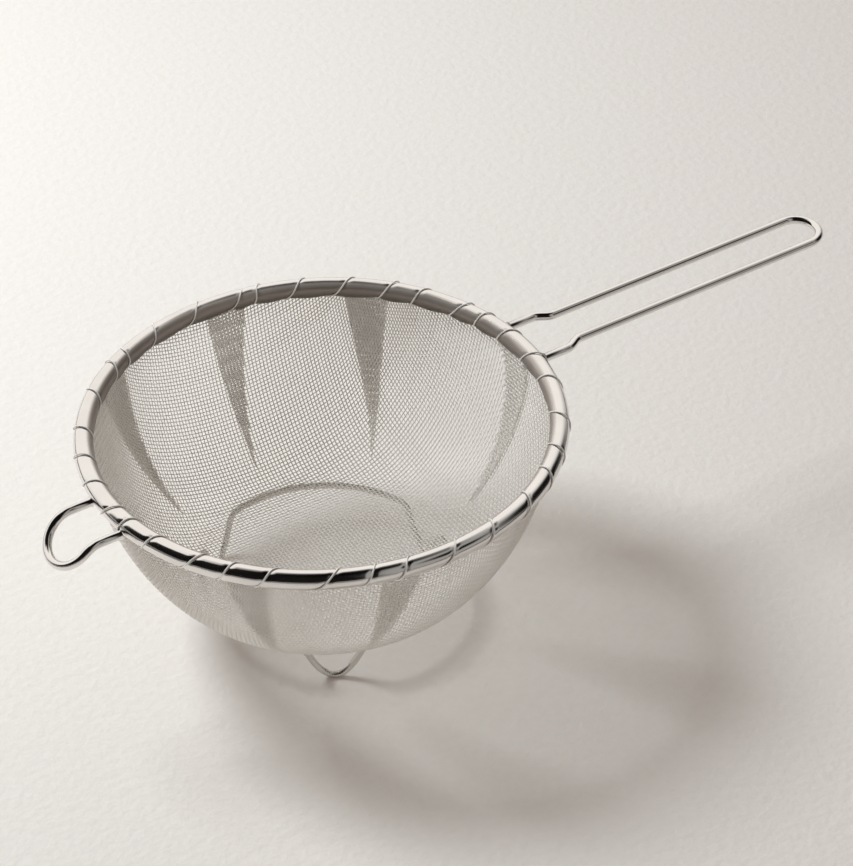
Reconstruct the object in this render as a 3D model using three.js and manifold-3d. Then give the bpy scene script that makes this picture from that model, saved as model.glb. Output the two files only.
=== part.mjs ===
// A wire soup strainer: a pleated mesh bowl in a rolled and lashed rim, with a bent-wire handle, a pot hook
// and a base wire with three feet. Millimetres and degrees, Z up, X along the handle, and the rim's centre
// plane at height zero until the whole strainer is stood on its feet at the end.
import * as THREE from 'three';
import { mergeVertices } from 'three/addons/utils/BufferGeometryUtils.js';
import Module from 'manifold-3d';

// Rim: a core hoop and the mesh edge, held in a rolled band that a thin wire binds
const RIM_RADIUS = 100.8; // mean radius of the band's centre line
const RIM_OVAL = 1.8; // added to that radius along the handle, taken off it across the handle
const BAND_RADIUS = 4.2; // outer radius of the band's round section
const BAND_WALL = 0.6;
const BAND_OUTER_MOUTH = 35; // where the outer lip stops, from straight down
const HOOP_DIAMETER = 4;
const HOOP_SIDE = 32; // the hoop lies in the band's outer side, this far above level
const LASH_DIAMETER = 0.9;
const LASH_START = 150; // azimuth where the first turn crosses the top of the band
const LASH_STEPS = [
  10.5, 10, 11, 5.5, 9, 12.5, 8, 9.5, 15, 9, 8, 13, 11.5, 13.5, 11, 9, 12.5,
  15, 9.5, 11, 9, 6, 12.5, 8, 11.5, 12.5, 11.5, 4, 13, 14, 12, 5.5, 12,
]; // from each turn to the next, uneven as wound by hand

// Bowl: one sheet of mesh, gathered into pleats and pressed to a flat floor
const MESH_THICKNESS = 0.8;
const MESH_TUCK = 1; // how far the mesh edge stands above the rim's centre plane
const BOWL_DEPTH = 76.6; // from the rim's centre plane to the middle of the mesh floor
const FLOOR_RADIUS = 55;
const WALL_LEAN = 9; // from upright, just below the band
const WALL_PULL = 50; // how far the wall keeps that lean
const FLOOR_PULL = 10; // how softly the floor turns up into the wall
const PLEATS = [
  { azimuth: 0.5, skew: -9 },
  { azimuth: 46, skew: -7 },
  { azimuth: 84.5, skew: 1 },
  { azimuth: 126, skew: 0 },
  { azimuth: 172, skew: 2 },
  { azimuth: 219, skew: 3 },
  { azimuth: 257.5, skew: -7 },
  { azimuth: 309, skew: 0 },
]; // middle at the rim, and how far the tip lies to one side
const PLEAT_HALF_WIDTH = 5.6; // at the rim, seen from the axis
const PLEAT_LENGTH = 74; // down the wall from the band
const PLEAT_FOLD = 1.4; // two more layers of mesh, on the inside
const PLEAT_EDGE = 0.5; // width of the step at a fold
const OPENING_ROWS = 4; // coarse openings that stand for the holes of the weave, down the wall
const OPENING_COLUMNS = 3; // between one pleat and the next
const OPENING_TOP = 7; // mesh left whole below the band
const OPENING_BOTTOM = 5; // mesh left whole above the floor's edge
const OPENING_BAR = 5; // mesh left between two openings
const FLOOR_PITCH = 17; // from one opening of the floor to the next
const FLOOR_OPENINGS = 6; // across the floor, even so that its middle stays whole
const FLOOR_EDGE = 52; // openings of the floor stop short of this distance from the axis

// Handle: one wire bent to a long U
const HANDLE_WIRE = 4;
const HANDLE_REACH = 161; // from the rim's outer edge to the middle of the wire at the far end
const GRIP_SPACING = 20.2; // between the legs' centre lines
const ROOT_SPACING = 27.2; // between the legs at the rim
const ROOT_LENGTH = 12; // from the rim to the step in the legs
const STEP_LENGTH = 9;

// Pot hook: one wire bent to a short U with its round end turned down
const HOOK_WIRE = 4;
const HOOK_SPACING = 25;
const HOOK_SINK = 2.4; // below the rim's centre plane
const HOOK_FLAT = 13; // level stretch from the rim to the bend
const HOOK_LIP = 16.5; // from the bend to the middle of the wire at the round end
const HOOK_TILT = 42; // how far the lip turns down
const HOOK_BEND = 4; // length of each leg that the bend takes up

// Base: one closed wire under the floor's edge, dipping into three feet
const BASE_WIRE = 3;
const FOOT_COUNT = 3;
const FOOT_AZIMUTH = 2; // of the first foot, next to the handle
const FOOT_WIDTH = 26; // where a foot leaves the ring
const FOOT_TOE = 9; // width of the control points that draw the foot in
const FOOT_DROP = 16.5; // from the ring's centre line to the foot's
const FOOT_CORNER = 3.5; // length of wire that the bend into a foot takes up on each side

const CLEARANCE = 0.3; // between pieces that touch or are welded

// How finely the round shapes are divided
const RING_SEGMENTS = 72;
const HOOP_SIDES = 8;
const BAND_ARCS = 9;
const WIRE_SIDES = 8;
const LASH_SIDES = 5;
const LASH_STEPS_PER_TURN = 10;
const WALL_ROWS = 9;
const COLUMNS_BETWEEN_PLEATS = 4;
const FLATNESS = 0.002; // corners this close to a straight edge or flat face are dropped
const BEND_STEPS = 12;
const CORNER_STEPS = 3;
const BASE_ARC_STEPS = 10;
const FOOT_STEPS = 11; // odd, so that a foot ends in a level stretch

const FULL_TURN = 2 * Math.PI;
const radians = THREE.MathUtils.degToRad;
const wasm = await Module();
wasm.setup();

// Places inside the band's section, outward and up from its centre
const bandInside = BAND_RADIUS - BAND_WALL;
const hoopShift = bandInside - CLEARANCE - HOOP_DIAMETER / 2;
const hoopOut = hoopShift * Math.cos(radians(HOOP_SIDE));
const hoopUp = hoopShift * Math.sin(radians(HOOP_SIDE));
const meshInset = HOOP_DIAMETER / 2 + CLEARANCE + MESH_THICKNESS / 2 - hoopOut;
const wallRadius = RIM_RADIUS - meshInset;
const rimOuterX = RIM_RADIUS + RIM_OVAL + BAND_RADIUS;
const pleatEdge = THREE.MathUtils.radToDeg(PLEAT_EDGE / wallRadius);

// A point at a mean distance from the axis: the floor's edge is round and the oval grows from there
function place(radius, azimuth, height) {
  const share = Math.max(0, (radius - FLOOR_RADIUS) / (RIM_RADIUS - FLOOR_RADIUS));
  const distance = radius + RIM_OVAL * share * Math.cos(2 * azimuth);
  return new THREE.Vector3(distance * Math.cos(azimuth), distance * Math.sin(azimuth), height);
}

// A wire's centre line through given points, sampled exactly at them
class WirePath extends THREE.Curve {
  constructor(points, closed = false) {
    super();
    this.points = points;
    this.closed = closed;
  }

  getPoint(t, target = new THREE.Vector3()) {
    const last = this.points.length - 1;
    const spot = (this.closed ? t - Math.floor(t) : THREE.MathUtils.clamp(t, 0, 1)) * last;
    const index = Math.min(Math.floor(spot), last - 1);
    return target.lerpVectors(this.points[index], this.points[index + 1], spot - index);
  }

  getTangent(t, target = new THREE.Vector3()) {
    const reach = 0.25 / (this.points.length - 1);
    return target.subVectors(this.getPoint(t + reach), this.getPoint(t - reach)).normalize();
  }

  getUtoTmapping(u) {
    return u;
  }
}

// Joins shared vertices and drops triangles that have no area
function weld(geometry) {
  geometry.deleteAttribute('normal');
  geometry.deleteAttribute('uv');
  const welded = mergeVertices(geometry);
  const corners = welded.index.array;
  const kept = [];
  for (let i = 0; i < corners.length; i += 3) {
    const [a, b, c] = corners.slice(i, i + 3);
    if (a !== b && b !== c && c !== a) kept.push(a, b, c);
  }
  welded.setIndex(kept);
  welded.computeVertexNormals();
  return welded;
}

// A round wire along a centre line, with a flat of its section facing the path's normal
function wire(points, diameter, sides = WIRE_SIDES, closed = false) {
  const section = [];
  for (let i = 0; i < sides; i += 1) {
    const angle = ((i + 0.5) / sides) * FULL_TURN;
    section.push(new THREE.Vector2(Math.cos(angle), Math.sin(angle)).multiplyScalar(diameter / 2));
  }
  const geometry = new THREE.ExtrudeGeometry(new THREE.Shape(section), {
    steps: points.length - 1,
    extrudePath: new WirePath(points, closed),
    bevelEnabled: false,
  });
  if (!closed) return weld(geometry);
  const side = geometry.groups.find((group) => group.materialIndex === 1);
  const tube = new THREE.BufferGeometry();
  const corners = geometry.attributes.position.array.slice(side.start * 3, (side.start + side.count) * 3);
  tube.setAttribute('position', new THREE.BufferAttribute(corners, 3));
  return weld(tube);
}

// A section turned round the axis and drawn out to the rim's oval
function ovalRing(profile, segments) {
  const geometry = new THREE.LatheGeometry(profile, segments).rotateX(Math.PI / 2);
  const position = geometry.attributes.position;
  for (let i = 0; i < position.count; i += 1) {
    const radius = Math.hypot(position.getX(i), position.getY(i));
    const azimuth = Math.atan2(position.getY(i), position.getX(i));
    const point = place(radius, azimuth, position.getZ(i));
    position.setXYZ(i, point.x, point.y, point.z);
  }
  return weld(geometry);
}

function toSolid(geometry) {
  return new wasm.Manifold(new wasm.Mesh({
    numProp: 3,
    vertProperties: new Float32Array(geometry.attributes.position.array),
    triVerts: new Uint32Array(geometry.index.array),
  }));
}

function toGeometry(solid) {
  const mesh = solid.getMesh();
  const geometry = new THREE.BufferGeometry();
  geometry.setAttribute('position', new THREE.BufferAttribute(mesh.vertProperties, 3));
  geometry.setIndex(new THREE.BufferAttribute(mesh.triVerts, 1));
  geometry.computeVertexNormals();
  return geometry;
}

function rimHoop() {
  const profile = [];
  for (let i = 0; i <= HOOP_SIDES; i += 1) {
    const angle = (i / HOOP_SIDES) * FULL_TURN;
    const out = hoopOut + (HOOP_DIAMETER / 2) * Math.cos(angle);
    profile.push(new THREE.Vector2(RIM_RADIUS + out, hoopUp + (HOOP_DIAMETER / 2) * Math.sin(angle)));
  }
  return ovalRing(profile, RING_SEGMENTS);
}

// A strip rolled over the hoop, open below, with its inner lip stopping short of the mesh
function rimBand() {
  const innerMouth = Math.asin((meshInset + MESH_THICKNESS / 2 + CLEARANCE) / bandInside);
  const from = radians(BAND_OUTER_MOUTH) - Math.PI / 2;
  const to = 1.5 * Math.PI - innerMouth;
  const arc = (radius, start, end) => {
    const points = [];
    for (let i = 0; i <= BAND_ARCS; i += 1) {
      const angle = THREE.MathUtils.lerp(start, end, i / BAND_ARCS);
      points.push(new THREE.Vector2(RIM_RADIUS + radius * Math.cos(angle), radius * Math.sin(angle)));
    }
    return points;
  };
  const profile = [...arc(BAND_RADIUS, from, to), ...arc(bandInside, to, from)];
  return ovalRing([...profile, profile[0]], RING_SEGMENTS);
}

// Azimuths where the turns cross the top of the band, moved aside where a turn would meet a welded leg
function lashTurns() {
  const turns = [LASH_START];
  LASH_STEPS.forEach((step) => turns.push(turns.at(-1) + step));
  const legs = [
    { spacing: ROOT_SPACING, diameter: HANDLE_WIRE, side: 0 },
    { spacing: HOOK_SPACING, diameter: HOOK_WIRE, side: 180 },
  ];
  const reach = RIM_RADIUS + BAND_RADIUS;
  const roots = legs.flatMap(({ spacing, diameter, side }) => [-1, 1].map((hand) => ({
    azimuth: side + hand * THREE.MathUtils.radToDeg(Math.asin(spacing / 2 / reach)),
    room: THREE.MathUtils.radToDeg((diameter / 2 + LASH_DIAMETER + CLEARANCE) / reach),
  })));
  return turns.map((turn, i) => {
    const step = i > 0 ? turn - turns[i - 1] : LASH_STEPS[0];
    const outside = turn - step / 4;
    const near = roots.find(({ azimuth, room }) => Math.abs(offset(outside, azimuth)) < room);
    if (!near) return turn;
    const away = offset(outside, near.azimuth);
    return turn + Math.sign(away) * near.room - away;
  });
}

// Signed angle from one azimuth to another, the short way round
function offset(azimuth, other) {
  return THREE.MathUtils.euclideanModulo(azimuth - other + 180, 360) - 180;
}

// The lashing's centre line: out, over, in and through the mesh, with both ends tucked up under the hoop
function lashPath() {
  const turns = lashTurns();
  const loose = (BAND_RADIUS + CLEARANCE + LASH_DIAMETER / 2) / Math.cos(Math.PI / LASH_STEPS_PER_TURN);
  const tuckAngle = Math.asin(hoopOut / loose) - Math.PI / 2;
  const tuckUp = hoopUp - HOOP_DIAMETER / 2 - CLEARANCE;
  const azimuthAt = (turn) => {
    const spot = turn - 0.5;
    const index = THREE.MathUtils.clamp(Math.floor(spot), 0, turns.length - 2);
    return radians(turns[index] + (spot - index) * (turns[index + 1] - turns[index]));
  };
  const points = [];
  const first = (tuckAngle + Math.PI / 2) / FULL_TURN;
  const count = turns.length * LASH_STEPS_PER_TURN;
  points.push(place(RIM_RADIUS + hoopOut, azimuthAt(first), tuckUp));
  for (let i = 0; i <= count; i += 1) {
    const turn = first + i / LASH_STEPS_PER_TURN;
    const angle = turn * FULL_TURN - Math.PI / 2;
    points.push(place(RIM_RADIUS + loose * Math.cos(angle), azimuthAt(turn), loose * Math.sin(angle)));
  }
  points.push(place(RIM_RADIUS + hoopOut, azimuthAt(first + turns.length), tuckUp));
  return points;
}

// Least gap between stretches of the lashing that are at least half a turn apart
function leastGap(points) {
  let least = Infinity;
  for (let i = 0; i < points.length; i += 1) {
    for (let j = i + LASH_STEPS_PER_TURN / 2; j < points.length; j += 1) {
      least = Math.min(least, points[i].distanceTo(points[j]));
    }
  }
  return least - LASH_DIAMETER;
}

// The middle of the mesh from the band to the floor's edge
function wallCurve() {
  const lean = radians(WALL_LEAN);
  const top = new THREE.Vector2(wallRadius, -BAND_RADIUS);
  const bottom = new THREE.Vector2(FLOOR_RADIUS, -BOWL_DEPTH);
  return new THREE.CubicBezierCurve(
    top,
    new THREE.Vector2(top.x - WALL_PULL * Math.sin(lean), top.y - WALL_PULL * Math.cos(lean)),
    new THREE.Vector2(bottom.x + FLOOR_PULL, bottom.y),
    bottom,
  );
}

// A place on the wall, with its outward normal and the length of mesh from the band
function wallStation(curve, share) {
  const tangent = curve.getTangentAt(share);
  return {
    middle: curve.getPointAt(share),
    normal: new THREE.Vector2(-tangent.y, tangent.x),
    along: share * curve.getLength(),
  };
}

// The section of the bowl from the tucked edge to the axis
function bowlStations() {
  const curve = wallCurve();
  const stations = [{ middle: new THREE.Vector2(wallRadius, MESH_TUCK), normal: new THREE.Vector2(1, 0), along: 0 }];
  for (let i = 0; i <= WALL_ROWS; i += 1) stations.push(wallStation(curve, i / WALL_ROWS));
  const floor = new THREE.Vector2(0, -1);
  [0.5, 0].forEach((share) => {
    const middle = new THREE.Vector2(FLOOR_RADIUS * share, -BOWL_DEPTH);
    stations.push({ middle, normal: floor, along: curve.getLength() });
  });
  return stations;
}

// Each pleat at one height, and the plain mesh from its far edge to the next pleat, as azimuths
function pleatSpans(along) {
  const share = Math.min(1, along / PLEAT_LENGTH);
  const half = Math.max(PLEAT_HALF_WIDTH * (1 - share), pleatEdge);
  const middles = PLEATS.map(({ azimuth, skew }) => azimuth + skew * share);
  return middles.map((middle, i) => {
    const next = i + 1 < middles.length ? middles[i + 1] : middles[0] + 360;
    return { middle, half, from: middle + half + pleatEdge, to: next - half - pleatEdge };
  });
}

// Columns of the mesh at one height: azimuth, and how far a pleat thickens the inside there
function pleatColumns(along) {
  const left = Math.max(0, 1 - along / PLEAT_LENGTH);
  const fold = PLEAT_FOLD * Math.min(1, along / PLEAT_FOLD / 2, left * 4);
  const columns = [];
  pleatSpans(along).forEach(({ middle, half, from, to }) => {
    columns.push({ azimuth: middle - half - pleatEdge, fold: 0 }, { azimuth: middle - half, fold });
    columns.push({ azimuth: middle, fold });
    columns.push({ azimuth: middle + half, fold }, { azimuth: from, fold: 0 });
    for (let k = 1; k <= COLUMNS_BETWEEN_PLEATS; k += 1) {
      const azimuth = THREE.MathUtils.lerp(from, to, k / (COLUMNS_BETWEEN_PLEATS + 1));
      columns.push({ azimuth, fold: 0 });
    }
  });
  return columns;
}

// The bowl's shell, from the middle of the floor up the outside, over the edge and down the inside
function meshShell() {
  const rows = bowlStations().map((station) => ({ ...station, columns: pleatColumns(station.along) }));
  const outside = rows.map((row) => ({ ...row, side: 1 })).reverse();
  const inside = rows.map((row) => ({ ...row, side: -1 }));
  const section = [...outside, ...inside];
  const segments = rows[0].columns.length;
  const geometry = new THREE.LatheGeometry(section.map((row) => row.middle), segments);
  const position = geometry.attributes.position;
  for (let i = 0; i <= segments; i += 1) {
    section.forEach((row, j) => {
      const column = row.columns[i % segments];
      const fold = row.side < 0 ? column.fold : 0;
      const thick = row.side * (MESH_THICKNESS / 2 + fold);
      const radius = Math.max(0, row.middle.x + thick * row.normal.x);
      const point = place(radius, radians(column.azimuth), row.middle.y + thick * row.normal.y);
      position.setXYZ(i * section.length + j, point.x, point.y, point.z);
    });
  }
  return weld(geometry);
}

// Blocks that cut the wall's openings, square to the mesh and in rows between the pleats
function wallOpenings() {
  const curve = wallCurve();
  const length = curve.getLength();
  const pitch = (length - OPENING_TOP - OPENING_BOTTOM + OPENING_BAR) / OPENING_ROWS;
  const reach = MESH_THICKNESS + 2 * PLEAT_FOLD;
  const corners = (along, panel, column) => {
    const { middle, normal } = wallStation(curve, along / length);
    const { from, to } = pleatSpans(along)[panel];
    const bar = THREE.MathUtils.radToDeg(OPENING_BAR / middle.x);
    const step = (to - from) / OPENING_COLUMNS;
    const sides = [from + column * step + bar / 2, from + (column + 1) * step - bar / 2];
    return sides.flatMap((azimuth) => [-reach, reach].map((out) => {
      const point = place(middle.x + out * normal.x, radians(azimuth), middle.y + out * normal.y);
      return point.toArray();
    }));
  };
  const blocks = [];
  for (let row = 0; row < OPENING_ROWS; row += 1) {
    const top = OPENING_TOP + row * pitch;
    const bottom = top + pitch - OPENING_BAR;
    PLEATS.forEach((pleat, panel) => {
      for (let column = 0; column < OPENING_COLUMNS; column += 1) {
        const points = [...corners(top, panel, column), ...corners(bottom, panel, column)];
        blocks.push(wasm.Manifold.hull(points));
      }
    });
  }
  return blocks;
}

// Blocks that cut the floor's openings, in a square grid
function floorOpenings() {
  const width = FLOOR_PITCH - OPENING_BAR;
  const places = [];
  for (let i = 0; i < FLOOR_OPENINGS; i += 1) places.push((i - (FLOOR_OPENINGS - 1) / 2) * FLOOR_PITCH);
  const block = wasm.Manifold.cube([width, width, 4 * MESH_THICKNESS], true);
  const fits = (x, y) => Math.hypot(Math.abs(x) + width / 2, Math.abs(y) + width / 2) < FLOOR_EDGE;
  return places.flatMap((x) => places.filter((y) => fits(x, y))
    .map((y) => block.translate([x, y, -BOWL_DEPTH])));
}

// The shell with its openings, and a hole wherever the lashing passes through the mesh
function meshBowl(path) {
  const passage = toSolid(wire(path, LASH_DIAMETER + 2 * CLEARANCE, LASH_SIDES));
  const cuts = wasm.Manifold.union([passage, ...wallOpenings(), ...floorOpenings()]);
  return toGeometry(toSolid(meshShell()).subtract(cuts).simplify(FLATNESS));
}

// Distance from the axis where a leg set to one side ends, just clear of the band
function legRoot(spacing, diameter, sink) {
  const across = spacing / 2 - diameter / 2;
  const long = RIM_RADIUS + RIM_OVAL;
  const wide = RIM_RADIUS - RIM_OVAL;
  const nearest = Math.max(0, sink - diameter / 2);
  const bulge = Math.sqrt(Math.max(0, BAND_RADIUS ** 2 - nearest ** 2));
  return (long + bulge) * Math.sqrt(Math.max(0, 1 - (across / (wide + bulge)) ** 2)) + CLEARANCE;
}

function mirrored(points) {
  const back = points.slice(0, -1).reverse();
  return [...points, ...back.map((point) => new THREE.Vector3(point.x, -point.y, point.z))];
}

function handle() {
  const points = [new THREE.Vector3(legRoot(ROOT_SPACING, HANDLE_WIRE, 0), ROOT_SPACING / 2, 0)];
  const stepStart = rimOuterX + ROOT_LENGTH;
  for (let i = 0; i <= CORNER_STEPS * 2; i += 1) {
    const share = i / (CORNER_STEPS * 2);
    const ease = (1 - Math.cos(share * Math.PI)) / 2;
    const across = THREE.MathUtils.lerp(ROOT_SPACING / 2, GRIP_SPACING / 2, ease);
    points.push(new THREE.Vector3(stepStart + share * STEP_LENGTH, across, 0));
  }
  const bend = GRIP_SPACING / 2;
  const bendX = rimOuterX + HANDLE_REACH - bend;
  for (let i = 0; i <= BEND_STEPS / 2; i += 1) {
    const angle = Math.PI / 2 - (i / BEND_STEPS) * Math.PI;
    points.push(new THREE.Vector3(bendX + bend * Math.cos(angle), bend * Math.sin(angle), 0));
  }
  return wire(mirrored(points), HANDLE_WIRE);
}

function potHook() {
  const side = HOOK_SPACING / 2;
  const tilt = radians(HOOK_TILT);
  const bendX = rimOuterX + HOOK_FLAT;
  const lip = (along, across) => new THREE.Vector3(
    -bendX - along * Math.cos(tilt),
    across,
    -HOOK_SINK - along * Math.sin(tilt),
  );
  const bend = new THREE.QuadraticBezierCurve3(
    new THREE.Vector3(-bendX + HOOK_BEND, side, -HOOK_SINK),
    lip(0, side),
    lip(HOOK_BEND, side),
  );
  const points = [new THREE.Vector3(-legRoot(HOOK_SPACING, HOOK_WIRE, HOOK_SINK), side, -HOOK_SINK)];
  points.push(...bend.getPoints(CORNER_STEPS));
  for (let i = 0; i <= BEND_STEPS / 2; i += 1) {
    const angle = (i / BEND_STEPS) * Math.PI;
    points.push(lip(HOOK_LIP - side + side * Math.sin(angle), side * Math.cos(angle)));
  }
  return wire(mirrored(points), HOOK_WIRE);
}

// One closed wire: arcs under the floor's edge, and a foot between each two arcs
function baseWire() {
  const height = -BOWL_DEPTH - MESH_THICKNESS / 2 - CLEARANCE - BASE_WIRE / 2;
  const half = FOOT_WIDTH / 2;
  const footTurn = Math.asin(half / FLOOR_RADIUS);
  const footOut = FLOOR_RADIUS * Math.cos(footTurn);
  const cornerTurn = FOOT_CORNER / FLOOR_RADIUS;
  const controlDrop = (4 / 3) * FOOT_DROP;
  const cornerShare = FOOT_CORNER / 3 / Math.hypot(half - FOOT_TOE / 2, controlDrop);
  const up = new THREE.Vector3(0, 0, 1);
  const points = [];
  for (let foot = 0; foot < FOOT_COUNT; foot += 1) {
    const azimuth = radians(FOOT_AZIMUTH) + (foot / FOOT_COUNT) * FULL_TURN;
    const at = (across, drop) => new THREE.Vector3(footOut, across, height - drop).applyAxisAngle(up, azimuth);
    const loop = new THREE.CubicBezierCurve3(
      at(-half, 0),
      at(-FOOT_TOE / 2, controlDrop),
      at(FOOT_TOE / 2, controlDrop),
      at(half, 0),
    );
    const onRing = (turn) => place(FLOOR_RADIUS, azimuth + turn, height);
    const entry = new THREE.QuadraticBezierCurve3(
      onRing(-footTurn - cornerTurn), at(-half, 0), loop.getPoint(cornerShare),
    );
    const exit = new THREE.QuadraticBezierCurve3(
      loop.getPoint(1 - cornerShare), at(half, 0), onRing(footTurn + cornerTurn),
    );
    points.push(...entry.getPoints(CORNER_STEPS));
    for (let i = 1; i < FOOT_STEPS; i += 1) {
      points.push(loop.getPoint(THREE.MathUtils.lerp(cornerShare, 1 - cornerShare, i / FOOT_STEPS)));
    }
    points.push(...exit.getPoints(CORNER_STEPS));
    const arc = FULL_TURN / FOOT_COUNT - 2 * (footTurn + cornerTurn);
    for (let i = 1; i < BASE_ARC_STEPS; i += 1) {
      points.push(onRing(footTurn + cornerTurn + (i / BASE_ARC_STEPS) * arc));
    }
  }
  // Starting at a foot's lowest, level stretch turns a flat of the wire's section down there
  const lowest = CORNER_STEPS + (FOOT_STEPS - 1) / 2;
  const path = [...points.slice(lowest), ...points.slice(0, lowest), points[lowest].clone()];
  return wire(path, BASE_WIRE, WIRE_SIDES, true);
}

const strainer = new THREE.Group();

function addPiece(name, geometry, color, roughness) {
  const material = new THREE.MeshStandardMaterial({ color, roughness, metalness: 1 });
  const mesh = new THREE.Mesh(geometry, material);
  mesh.name = name;
  strainer.add(mesh);
}

const lash = lashPath();
console.log(`lashing_wire: least gap to itself ${leastGap(lash).toFixed(2)} mm`);
addPiece('mesh_bowl', meshBowl(lash), 0xb4b2ac, 0.45);
addPiece('rim_hoop', rimHoop(), 0xb9b7b2, 0.35);
addPiece('rim_band', rimBand(), 0xd2d0cb, 0.12);
addPiece('lashing_wire', wire(lash, LASH_DIAMETER, LASH_SIDES), 0xc4c1bb, 0.2);
addPiece('handle', handle(), 0xcac8c2, 0.15);
addPiece('pot_hook', potHook(), 0xcac8c2, 0.15);
addPiece('base_wire', baseWire(), 0xbebbb5, 0.22);

// The strainer stands on its feet at height zero, with the middle of its length over the origin
strainer.updateMatrixWorld(true);
const box = new THREE.Box3().setFromObject(strainer, true);
strainer.position.set(-(box.min.x + box.max.x) / 2, 0, -box.min.z);

export default strainer;
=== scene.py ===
# %% [markdown]
# A soup strainer is almost nothing but wire: a woven bowl, a rolled rim bound with thin wire, a bent
# handle, a pot hook and a footed base ring. The imported CAD model gives every place and size, so this script
# loads it first as a fixed frame and builds finer pieces around it.

# %% Load the frame
import math
from bisect import bisect_right

import bmesh
import bpy
from mathutils import Matrix, Quaternion, Vector
from mathutils.geometry import interpolate_bezier


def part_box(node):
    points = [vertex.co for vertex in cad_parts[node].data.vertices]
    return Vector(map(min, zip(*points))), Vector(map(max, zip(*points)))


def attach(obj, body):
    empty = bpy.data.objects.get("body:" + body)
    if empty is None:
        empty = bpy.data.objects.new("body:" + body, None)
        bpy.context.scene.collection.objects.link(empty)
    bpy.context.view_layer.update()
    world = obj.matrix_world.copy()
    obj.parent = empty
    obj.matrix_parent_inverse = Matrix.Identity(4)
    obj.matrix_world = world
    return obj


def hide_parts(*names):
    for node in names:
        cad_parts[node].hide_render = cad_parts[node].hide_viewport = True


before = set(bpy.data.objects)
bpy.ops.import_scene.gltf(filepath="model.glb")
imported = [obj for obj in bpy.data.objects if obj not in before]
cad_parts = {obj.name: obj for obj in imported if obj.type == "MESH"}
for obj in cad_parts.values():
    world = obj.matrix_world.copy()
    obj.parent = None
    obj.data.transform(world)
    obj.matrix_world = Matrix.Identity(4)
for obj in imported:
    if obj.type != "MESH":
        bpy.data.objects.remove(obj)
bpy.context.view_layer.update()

scene = bpy.context.scene
MM = 0.001
print("nodes:", sorted(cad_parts))

# %% [markdown]
# The camera stands well back with a long lens, so the bowl's circles stay calm ellipses. A camera looks
# along its own minus Z, and to_track_quat turns a direction into that rotation. The small roll at the end
# levels the rim the way a hand-set tripod did.

# %% Camera
CAMERA_AT = Vector((-0.67055, -0.9821, 1.01577))
CAMERA_TOWARDS = Vector((0.43347, 0.64871, -0.62556))
CAMERA_ROLL = 0.0031
LENS = 143.45

camera = bpy.data.objects.new("camera", bpy.data.cameras.new("camera"))
camera.data.lens = LENS
camera.location = CAMERA_AT
camera.rotation_mode = "QUATERNION"
roll = Quaternion((0, 0, 1), CAMERA_ROLL)
camera.rotation_quaternion = CAMERA_TOWARDS.to_track_quat("-Z", "Y") @ roll
scene.collection.objects.link(camera)
scene.camera = camera
print("camera at", tuple(round(x, 3) for x in camera.location))

# %% [markdown]
# Everything on the bowl is measured from its upright axis and from the rim's middle plane. The CAD hoop
# lies in the rim, so its box tells where both are. The rim is a little longer along the handle than across
# it, and the helper place() turns a radius, an azimuth and a height into a point on that oval.

# %% The bowl's axis and oval
RIM_RADIUS = 100.8 * MM
RIM_OVAL = 1.8 * MM
FLOOR_RADIUS = 55 * MM
HOOP_OUT = 1.1025 * MM
HOOP_UP = 0.689 * MM

hoop_low, hoop_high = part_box("rim_hoop")
axis_x = (hoop_low.x + hoop_high.x) / 2
rim_z = (hoop_low.z + hoop_high.z) / 2 - HOOP_UP


def place(radius, azimuth, height):
    share = max(0.0, (radius - FLOOR_RADIUS) / (RIM_RADIUS - FLOOR_RADIUS))
    distance = radius + RIM_OVAL * share * math.cos(2 * azimuth)
    x = axis_x + distance * math.cos(azimuth)
    return Vector((x, distance * math.sin(azimuth), rim_z + height))


print(f"axis at x {axis_x / MM:.2f} mm, rim at z {rim_z / MM:.2f} mm")

# %% [markdown]
# The steel comes in several finishes, but all of them share the same signs of use: cloudy smudges from
# handling and a fine grain from drawing or polishing. Such a shared effect belongs in one node group with
# named sockets, so each material can place it with its own strength. The group gives values only. The
# shader stays in the material.

# %% A node group for the wear on steel
SMUDGE_DETAIL = 4
GRAIN_DETAIL = 2
GRAIN_SHARE = 0.3
WEAR_LOW = 0.3
WEAR_HIGH = 0.7

wear = bpy.data.node_groups.new("steel_wear", "ShaderNodeTree")
for name, kind in (("Vector", "NodeSocketVector"), ("Smudge Scale", "NodeSocketFloat"),
                   ("Grain Scale", "NodeSocketFloat"), ("Low", "NodeSocketFloat"),
                   ("High", "NodeSocketFloat")):
    wear.interface.new_socket(name, in_out="INPUT", socket_type=kind)
for name in ("Roughness", "Cloud", "Grain"):
    wear.interface.new_socket(name, in_out="OUTPUT", socket_type="NodeSocketFloat")

group_in = wear.nodes.new("NodeGroupInput")
group_out = wear.nodes.new("NodeGroupOutput")
smudge = wear.nodes.new("ShaderNodeTexNoise")
smudge.inputs["Detail"].default_value = SMUDGE_DETAIL
grain = wear.nodes.new("ShaderNodeTexNoise")
grain.inputs["Detail"].default_value = GRAIN_DETAIL
blend = wear.nodes.new("ShaderNodeMix")
blend.inputs["Factor"].default_value = GRAIN_SHARE
spread = wear.nodes.new("ShaderNodeMapRange")
spread.inputs["From Min"].default_value = WEAR_LOW
spread.inputs["From Max"].default_value = WEAR_HIGH
link = wear.links.new
link(group_in.outputs["Vector"], smudge.inputs["Vector"])
link(group_in.outputs["Smudge Scale"], smudge.inputs["Scale"])
link(group_in.outputs["Vector"], grain.inputs["Vector"])
link(group_in.outputs["Grain Scale"], grain.inputs["Scale"])
link(smudge.outputs["Fac"], blend.inputs["A"])
link(grain.outputs["Fac"], blend.inputs["B"])
link(blend.outputs["Result"], spread.inputs["Value"])
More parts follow.
